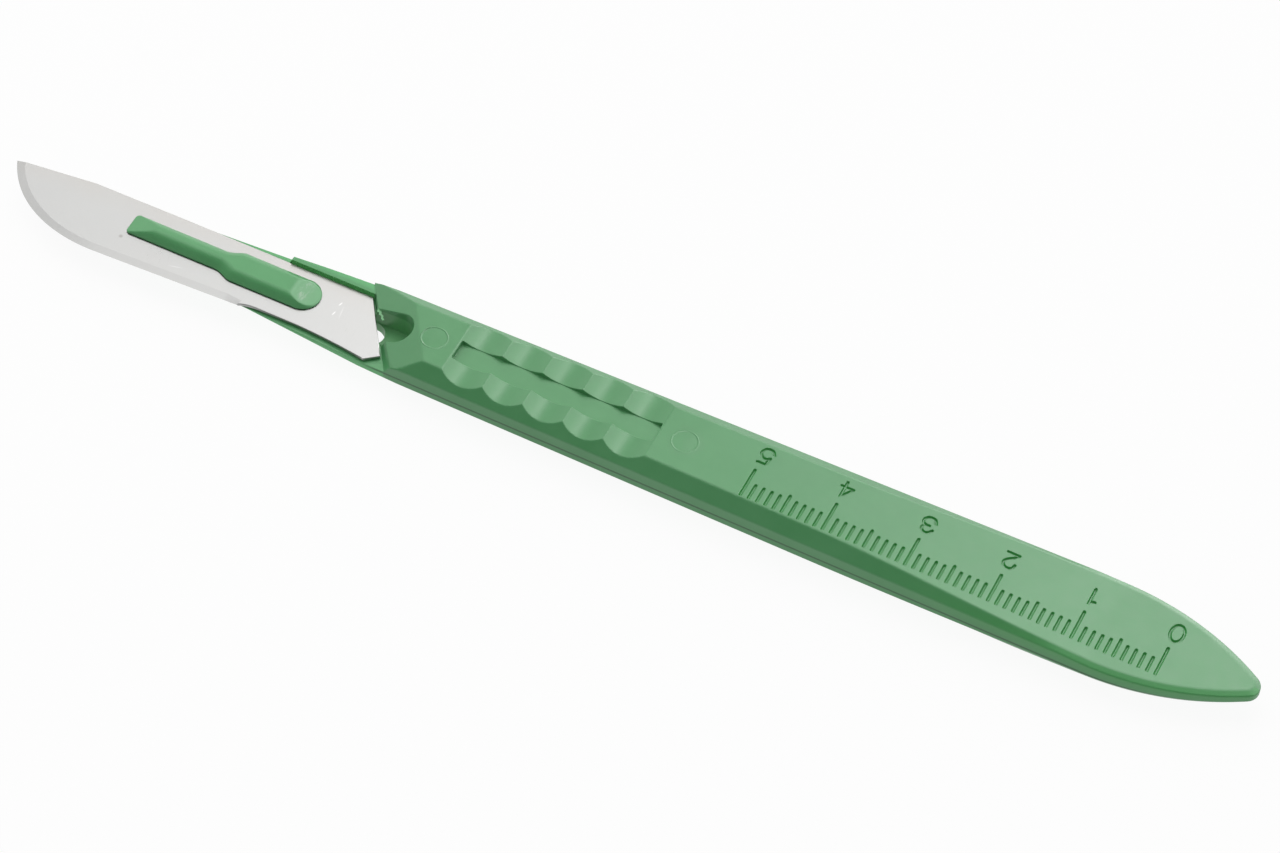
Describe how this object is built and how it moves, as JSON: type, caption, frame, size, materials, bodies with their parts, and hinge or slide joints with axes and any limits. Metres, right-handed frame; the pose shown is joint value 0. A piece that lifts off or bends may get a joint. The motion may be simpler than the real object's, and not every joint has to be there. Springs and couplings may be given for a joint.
{
  "type": "disposable scalpel",
  "caption": "Disposable scalpel: curved-belly steel blade on a moulded green plastic handle with a bayonet boss, scalloped grip and millimetre ruler.",
  "frame": {"origin": "middle of the scalpel's length and width, in the plane of the handle's flat back, on which it lies", "axes": "+X from the blade to the handle's tail, +Y to the side of the blade's blunt spine, +Z out of the ruled face"},
  "size_m": [0.1564, 0.0128, 0.0051],
  "materials": {
    "handle_plastic": "satin moulded green plastic",
    "blade_steel": "satin, with a finer ground band along the cutting edge"
  },
  "bodies": {
    "root": {"handle": "handle_plastic", "blade": "blade_steel"}
  },
  "joints": []
}
